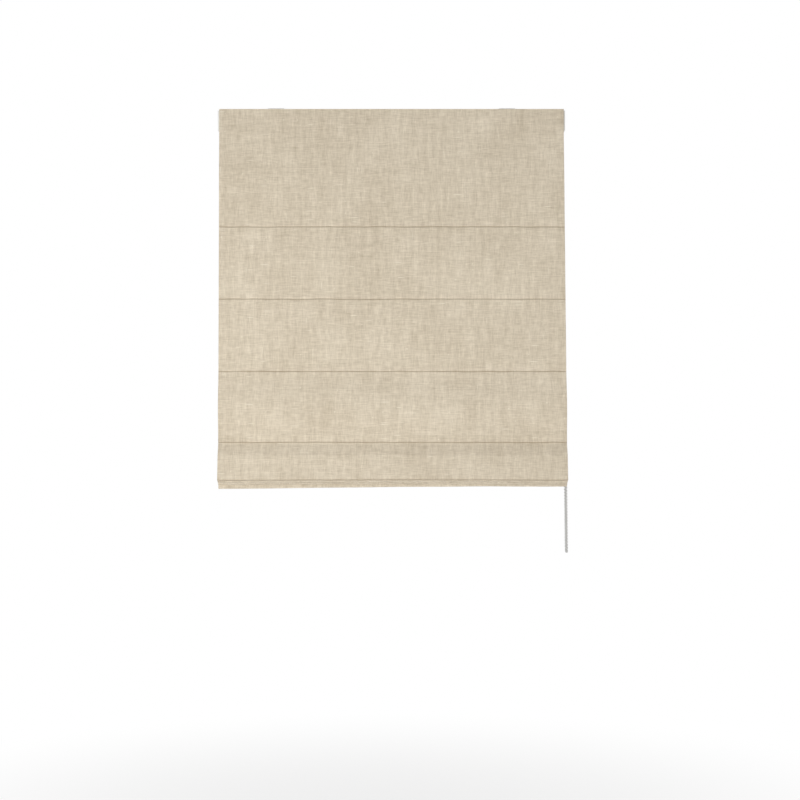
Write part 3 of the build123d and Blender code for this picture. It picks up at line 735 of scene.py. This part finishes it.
def both_faces(line):
    return shifted(line, FACE_OUT), shifted(line, -FACE_OUT)


top_line, _ = rounded([(SEAM_Y, FABRIC_TOP, 0), (SEAM_Y, RAIL_BOTTOM, 0)], 7.0)
face_top, face_s = face_sheet("face_top", *both_faces(top_line), 0.0)
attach(face_top, "headrail")

drop_corners = [(SEAM_Y, RAIL_BOTTOM, 0)] + bow + [(SEAM_Y, ROW_Z[4], 0)]
drop_line, _ = rounded(drop_corners, 5.5)
drop_line = crowded(drop_line)
face_drop, face_s = face_sheet("face_drop", *both_faces(drop_line), face_s)
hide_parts("face_fabric")

lining_top_line, _ = rounded([(SEAM_Y, LINING_TOP, 0), (SEAM_Y, RAIL_BOTTOM, 0)], 8.0)
lining_top, lining_s = lining_sheet("lining_top", shifted(lining_top_line, -LINING_IN), 0.0)
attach(lining_top, "headrail")

plain_line, _ = rounded(drop_corners, 8.0)
lining_drop, lining_s = lining_sheet("lining_drop", shifted(plain_line, -LINING_IN), lining_s)
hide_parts("lining")
for piece in (face_drop, lining_drop):
    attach(piece, "headrail")
    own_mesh(piece)
print("face:", len(face_drop.data.polygons), "faces; lining:", len(lining_drop.data.polygons))

# %% [markdown]
# ## The gathered folds
# Below the last hanging row the cloth is folded three times. The front of each fold hangs
# from the row above it, and its back is fixed where it lies, tied to neither row. The back
# is never turned over, so drawn far apart its lining would show in front, where real cloth
# would show its face.

# %% Folds between the rows
ROW_BODY = {4: "row_4", 5: "row_5", 6: "row_6", 7: "bottom"}


def over_rib(corners):
    """The same fold for the layer that passes over the rib."""
    return [(y, z + ARCH_RISE if z in APEX_Z else z, r) for y, z, r in corners]


for name, corners in folds.items():
    loop = int(name.split("_")[1])
    upper, lower = ROW_BODY[loop + 3], ROW_BODY[loop + 4]
    front_line, counts = rounded(corners, 5.0)
    if loop == 1 and name.endswith("front"):
        extra = [Vector((SEAM_Y, ROW_Z[4] - away)) for away in (0.35, 0.7, 1.1, 1.6)]
        front_line = front_line[:1] + extra + front_line[1:]
        back_line = front_line
    else:
        back_line, _ = rounded(over_rib(corners), 5.0, counts)
    face, face_s = face_sheet(
        f"face_{name}", shifted(front_line, FACE_OUT), shifted(back_line, -FACE_OUT), face_s, 61
    )
    inner, lining_s = lining_sheet(f"lining_{name}", shifted(back_line, -LINING_IN), lining_s, 41)
    for piece in (face, inner):
        if name.endswith("front"):
            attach(piece, upper)
        else:
            foot, top = corners[0], corners[-1]
            foot[1] * MM
            top[1] * MM
            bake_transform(piece)
print("cloth length so far", round(face_s), "mm")

# %% [markdown]
# ## The flap and its weighted hem
# The last panel hangs straight from the lowest row. Its hem is turned up round a flat steel
# bar, whose white end caps close the two ends. The lining ends just above the hem.

# %% Flap, lining and bottom hem
flap_corners = [(RIB_Y, APEX_Z[2], 0), (FLAP_Y, APEX_Z[2], 1.35), (FLAP_Y, HEM_TOP_Z, 0)]
HEM_TILT = 5.0
flap_line, flap_counts = rounded(flap_corners, 4.0)
flap_back, _ = rounded(over_rib(flap_corners), 4.0, flap_counts)


def parted(line, amount, wide):
    """A layer that leaves the others below the split and goes round the bar."""
    moved = shifted(line, amount)
    result = []
    for spot in moved:
        share = min(1.0, max(0.0, (SPLIT_Z - spot.y) / FLAP_SPREAD_H))
        smooth = share * share * (3 - 2 * share)
        extra = (wide - abs(amount)) * smooth
        result.append(spot + Vector((-math.copysign(extra, amount), 0)))
    return result


flap_face, face_s = face_sheet(
    "face_flap", parted(flap_line, FACE_OUT, BAR_HALF), parted(flap_back, -FACE_OUT, BAR_HALF), face_s,
    tilt=HEM_TILT,
)
flap_lining, lining_s = lining_sheet(
    "lining_flap", parted(flap_back, -LINING_IN, 1.85), lining_s, tilt=HEM_TILT
)

hem_corners = [
    (FLAP_Y - BAR_HALF, HEM_TOP_Z, 0),
    (FLAP_Y - BAR_HALF, HEM_FLOOR_Z, 1.95),
    (FLAP_Y + BAR_HALF, HEM_FLOOR_Z, 1.95),
    (FLAP_Y + BAR_HALF, HEM_TOP_Z, 0),
]
hem_line, _ = rounded(hem_corners, 4.0)
hem_along = lengths(hem_line)
hem_across = spread(-HALF_W + 0.2, HALF_W - 0.2, 99)
bottom_hem = sheet_mesh(
    "bottom_hem",
    [[relief(x, y, z, HEM_TILT) for x in hem_across] for y, z in hem_line],
    [[(x, -(face_s + s)) for x in hem_across] for s in hem_along],
    FACE_T,
    linen,
)
for piece in (flap_face, flap_lining, bottom_hem):
    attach(piece, "bottom")
print("the shade's cloth is", round(face_s + hem_along[-1]), "mm long in all")

# %% [markdown]
# ## Rib pockets
# Each rib lies in a narrow tube of lining, stitched along the back of the shade. A single
# edge is spun half a turn round the rib, run along the row in steps and given the lining's
# thickness. The cloth puckers a little where a ring is sewn on.

# %% Pockets
POCKET_R = 1.55
POCKET_HALF = 336.0
POCKET_STEPS = 96


def rib_pocket(row):
    """A half tube of lining behind the rib of one row."""
    z = ROW_Z[row]
    bm = bmesh.new()
    top = bm.verts.new(Vector((-POCKET_HALF, RIB_Y, z + POCKET_R)) * MM)
    axis_point = Vector((-POCKET_HALF, RIB_Y, z)) * MM
    bmesh.ops.spin(bm, geom=[top], cent=axis_point, axis=(-1, 0, 0), angle=math.pi, steps=8)
    reach = (SEAM_Y + 0.6 - RIB_Y) * MM
    for place in (z + POCKET_R, z - POCKET_R):
        ends = [v for v in bm.verts if abs(v.co.z - place * MM) < 1e-7 and abs(v.co.y - RIB_Y * MM) < 1e-7]
        lip = bmesh.ops.extrude_vert_indiv(bm, verts=ends)["verts"]
        bmesh.ops.translate(bm, verts=lip, vec=(0, reach, 0))
    edges = list(bm.edges)
    for _ in range(POCKET_STEPS):
        strip = bmesh.ops.extrude_edge_only(bm, edges=edges)["geom"]
        edges = [item for item in strip if isinstance(item, bmesh.types.BMEdge)]
        moved = [item for item in strip if isinstance(item, bmesh.types.BMVert)]
        bmesh.ops.translate(bm, verts=moved, vec=(2 * POCKET_HALF / POCKET_STEPS * MM, 0, 0))
    uv = bm.loops.layers.uv.new("cloth")
    for face in bm.faces:
        for loop in face.loops:
            x, y, height = loop.vert.co
            loop[uv].uv = (x, height + y)
        face.material_index = 1 if abs(face.calc_center_median().x) > LINING_HALF * MM else 0
    for vert in bm.verts:
        near = min(abs(vert.co.x / MM - x) for x in RING_X.values())
        pucker = math.exp(-((near / 9.0) ** 2)) * 0.25
        waves = 0.22 * noise.noise(Vector((vert.co.x * 55.0, row, 0.3)))
        if vert.co.y > (RIB_Y + 0.4) * MM:
            vert.co.y += (waves - pucker) * MM * 0.5
            vert.co.z += waves * MM
    bmesh.ops.recalc_face_normals(bm, faces=bm.faces)
    piece = new_piece(f"pocket_{row}", bm, lining_cloth, linen)
    wall = piece.modifiers.new("cloth_thickness", "SOLIDIFY")
    wall.thickness = LINING_T * MM
    wall.offset = 0.0
    baked(piece)
    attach(piece, ROW_BODY.get(row, f"row_{row}"))
    return piece


pockets = [rib_pocket(row) for row in (1, 2, 3, 4)]
print(len(pockets), "pockets of", len(pockets[0].data.polygons), "faces")

# %% [markdown]
# ## Rings
# The CAD rings have twelve flat sides. The real ones are round plastic rings with a round
# section, each held by a few turns of thread, so a small circle is spun once round the cord.

# %% Round rings and the thread that holds them
RING_OUT = 6.9
RING_THICK = 1.6


def round_rings(row):
    """Three rings and their threads, on the pocket of one row."""
    bm = bmesh.new()
    for x in RING_X.values():
        centre = Vector((x, CORD_Y, ROW_Z[row])) * MM
        middle_r = (RING_OUT - RING_THICK / 2) * MM
        turned = Matrix.Translation(centre + Vector((middle_r, 0, 0))) @ Matrix.Rotation(math.pi / 2, 4, "X")
        circle = bmesh.ops.create_circle(bm, segments=10, radius=RING_THICK / 2 * MM, matrix=turned)
        bmesh.ops.spin(
            bm,
            geom=circle["verts"] + list({e for v in circle["verts"] for e in v.link_edges}),
            cent=centre,
            axis=(0, 0, 1),
            angle=2 * math.pi,
            steps=32,
            use_merge=True,
        )
        for side in (-0.5, 0.0, 0.5):
            wrap_y = CORD_Y - RING_OUT + RING_THICK / 2
            spot = Vector((x + side, wrap_y, ROW_Z[row])) * MM
            lifted = Matrix.Translation(spot + Vector((0, 0, 1.02 * MM)))
            facing = lifted @ Matrix.Rotation(math.pi / 2, 4, "Y")
            wire = bmesh.ops.create_circle(bm, segments=6, radius=0.22 * MM, matrix=facing)
            threads = wire["verts"] + list({e for v in wire["verts"] for e in v.link_edges})
            before = set(bm.faces)
            bmesh.ops.spin(
                bm, geom=threads, cent=spot, axis=(1, 0, 0), angle=2 * math.pi, steps=14, use_merge=True
            )
            for face in set(bm.faces) - before:
                face.material_index = 1
    bmesh.ops.remove_doubles(bm, verts=bm.verts, dist=1e-6)
    bmesh.ops.recalc_face_normals(bm, faces=bm.faces)
    piece = new_piece(f"round_rings_{row}", bm, ring_plastic, white_cord)
    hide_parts(f"rings_{row}")
    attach(piece, ROW_BODY.get(row, f"row_{row}"))
    return piece


ring_rows = [round_rings(row) for row in range(1, 8)]
print(len(ring_rows), "rows of rings of", len(ring_rows[0].data.polygons), "faces")

# %% [markdown]
# ## Lift cords
# Each cord leaves its drum, runs down through the rings and ends in a tie under the lowest
# one. It is always taut. Here it is a long part from the drum down to the last hanging row,
# hung from the rail, one short length for each gap below, fixed where it lies, and a tail
# under the tie that rides with the lowest row.


# %% Taut cords
CORD_R = 0.7
TIE_TOP = round(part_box("cord_ties")[1].z / MM, 2)
TIE_FOOT = round(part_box("cord_ties")[0].z / MM, 2)


def taut_cord(name, x, high, low, steps):
    """A tube from one height to another."""
    bm = bmesh.new()
    start = Matrix.Translation(Vector((x, CORD_Y, high)) * MM)
    ring = bmesh.ops.create_circle(bm, cap_ends=False, segments=10, radius=CORD_R * MM, matrix=start)
    first = list({edge for vert in ring["verts"] for edge in vert.link_edges})
    edges = first
    for _ in range(steps):
        strip = bmesh.ops.extrude_edge_only(bm, edges=edges)["geom"]
        edges = [item for item in strip if isinstance(item, bmesh.types.BMEdge)]
        moved = [item for item in strip if isinstance(item, bmesh.types.BMVert)]
        edges = [e for e in edges if all(v in moved for v in e.verts)]
        bmesh.ops.translate(bm, verts=moved, vec=(0, 0, (low - high) / steps * MM))
    bmesh.ops.holes_fill(bm, edges=first + edges, sides=0)
    bmesh.ops.recalc_face_normals(bm, faces=bm.faces)
    piece = new_piece(name, bm, white_cord)
    return piece


cord_heights = [ROW_Z[4], ROW_Z[5], ROW_Z[6], TIE_TOP]
for side, x in RING_X.items():
    for number, (high, low) in enumerate(zip(cord_heights, cord_heights[1:])):
        short = taut_cord(f"{side}_cord_{number + 5}", x, high, low, 14)
        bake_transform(short)
    tail = taut_cord(f"{side}_cord_tail", x, TIE_TOP, TIE_FOOT - 9.0, 4)
    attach(tail, "bottom")
    long = taut_cord(f"{side}_cord", x, AXIS_Z, ROW_Z[4], 60)
    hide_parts(f"{side}_lift_cord")
    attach(long, "headrail")
    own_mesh(long)
print("a lift cord is", round(AXIS_Z - TIE_FOOT), "mm long below its drum")

# %% [markdown]
# ## Cord on the drums
# With the shade part way up, several turns of cord lie side by side on each drum. A circle
# spun about the shaft with a small step along it makes a helix.

# %% Wound turns
DRUM_CORE_R = 7.8
WOUND_TURNS = 7


def wound_cord(side, x):
    """Turns of cord on one drum, beside the one that leaves it."""
    bm = bmesh.new()
    spot = Vector((x, CORD_Y, AXIS_Z)) * MM
    facing = Matrix.Translation(spot)
    circle = bmesh.ops.create_circle(bm, segments=8, radius=CORD_R * MM, matrix=facing)
    steps = 28 * WOUND_TURNS
    bmesh.ops.spin(
        bm,
        geom=circle["verts"] + list({e for v in circle["verts"] for e in v.link_edges}),
        cent=Vector((x, 0, AXIS_Z)) * MM,
        axis=(1, 0, 0),
        dvec=(2 * CORD_R * 1.04 * MM * WOUND_TURNS / steps, 0, 0),
        angle=2 * math.pi * WOUND_TURNS,
        steps=steps,
    )
    bmesh.ops.holes_fill(bm, edges=[e for e in bm.edges if e.is_boundary], sides=0)
    bmesh.ops.recalc_face_normals(bm, faces=bm.faces)
    piece = new_piece(f"{side}_wound_cord", bm, white_cord)
    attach(piece, "drive")
    return piece


for side, x in RING_X.items():
    coil = wound_cord(side, x)
print("turns on each drum:", WOUND_TURNS, "and", len(coil.data.polygons), "faces")

# %% [markdown]
# ## Bead chain
# The chain is one endless string with moulded beads. It comes off both sides of its wheel,
# hangs down and turns round at the bottom, where it swings out a little to the right. Only a
# smooth curve through a few points is needed for the string, and the beads follow it.

# %% String and beads
WHEEL_X = 340.2
CHAIN_R = 12.414
CHAIN_LOW = -884.8
CHAIN_DRIFT = 10.1
BEAD_PITCH = 6.0
BEAD_R = 2.25
STRING_R = 0.6
STRAND_Z = (-24.2, -120, -320, -520, -700, -820, -868)
WHEEL_POCKETS = 13
chain_route = []
for y, heights in ((-CHAIN_R, STRAND_Z), (CHAIN_R, STRAND_Z[::-1])):
    for z in heights:
        drift = CHAIN_DRIFT * (AXIS_Z - z) / (AXIS_Z - CHAIN_LOW + CHAIN_R)
        chain_route.append((WHEEL_X + drift, y, z))
    if y < 0:
        low_x = WHEEL_X + CHAIN_DRIFT
        chain_route += [(low_x, -CHAIN_R, CHAIN_LOW), (low_x, CHAIN_R, CHAIN_LOW)]

string_data = bpy.data.curves.new("chain_string", "CURVE")
string_data.dimensions = "3D"
spline = string_data.splines.new("NURBS")
spline.points.add(len(chain_route) - 1)
for point, place in zip(spline.points, chain_route):
    point.co = (*(Vector(place) * MM), 1.0)
spline.order_u = 3
spline.use_endpoint_u = True
spline.resolution_u = 24
chain_string = bpy.data.objects.new("chain_string", string_data)
bpy.context.scene.collection.objects.link(chain_string)
seen_string = chain_string.evaluated_get(bpy.context.evaluated_depsgraph_get())
centre_line = bpy.data.meshes.new_from_object(seen_string)
chain_spots = [vert.co.copy() for vert in centre_line.vertices]
string_data.bevel_depth = STRING_R * MM
string_data.bevel_resolution = 2
string_data.use_fill_caps = True
string_data.materials.append(chain_plastic)


def steps_along(spots, pitch):
    """Points a pitch apart along a line."""
    made, left = [spots[0]], pitch
    for before, after in zip(spots, spots[1:]):
        run = (after - before).length
        while run >= left:
            before = before.lerp(after, left / run)
            made.append(before)
            run = (after - before).length
            left = pitch
        left -= run
    return made


bead_spots = steps_along(chain_spots, BEAD_PITCH * MM)
for pocket in range(1, 7):
    angle = pocket * 2 * math.pi / WHEEL_POCKETS
    place = (WHEEL_X, -CHAIN_R * math.cos(angle), AXIS_Z + CHAIN_R * math.sin(angle))
    bead_spots.append(Vector(place) * MM)
bm = bmesh.new()
for spot in bead_spots:
    bmesh.ops.create_uvsphere(
        bm, u_segments=8, v_segments=5, radius=BEAD_R * MM, matrix=Matrix.Translation(spot)
    )
chain_beads = new_piece("chain_beads", bm, chain_plastic)
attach(chain_beads, "headrail")
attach(chain_string, "headrail")
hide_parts("bead_chain")
print(len(bead_spots), "beads")

# %% [markdown]
# ## Floor
# The floor is far below, so it only takes soft shade. It fades to white away from the shade,
# so that no edge of it shows.

# %% Floor
FLOOR_Z = -1.42
bm = bmesh.new()
below = Matrix.Translation((0, 0, FLOOR_Z))
bmesh.ops.create_circle(bm, cap_ends=True, segments=96, radius=9.0, matrix=below)
pale = Finish("pale_floor", 0.9)
pale.skin.inputs["Base Color"].default_value = (0.9, 0.9, 0.9, 1)
floor = new_piece("floor", bm, pale.material)
tree = pale.tree
white = tree.nodes.new("ShaderNodeEmission")
blend = tree.nodes.new("ShaderNodeMixShader")
seen = pale.node("ShaderNodeLightPath", output="Is Camera Ray")
measure = {"operation": "LENGTH"}
out_from_middle = pale.node("ShaderNodeVectorMath", measure, {0: pale.place()}, output="Value")
far = out_from_middle.fade(0.9, 1.9)
feed(tree, blend.inputs[0], seen * far)
tree.links.new(pale.skin.outputs[0], blend.inputs[1])
tree.links.new(white.outputs[0], blend.inputs[2])
tree.links.new(blend.outputs[0], tree.nodes["Material Output"].inputs["Surface"])
print("floor at", FLOOR_Z, "m")
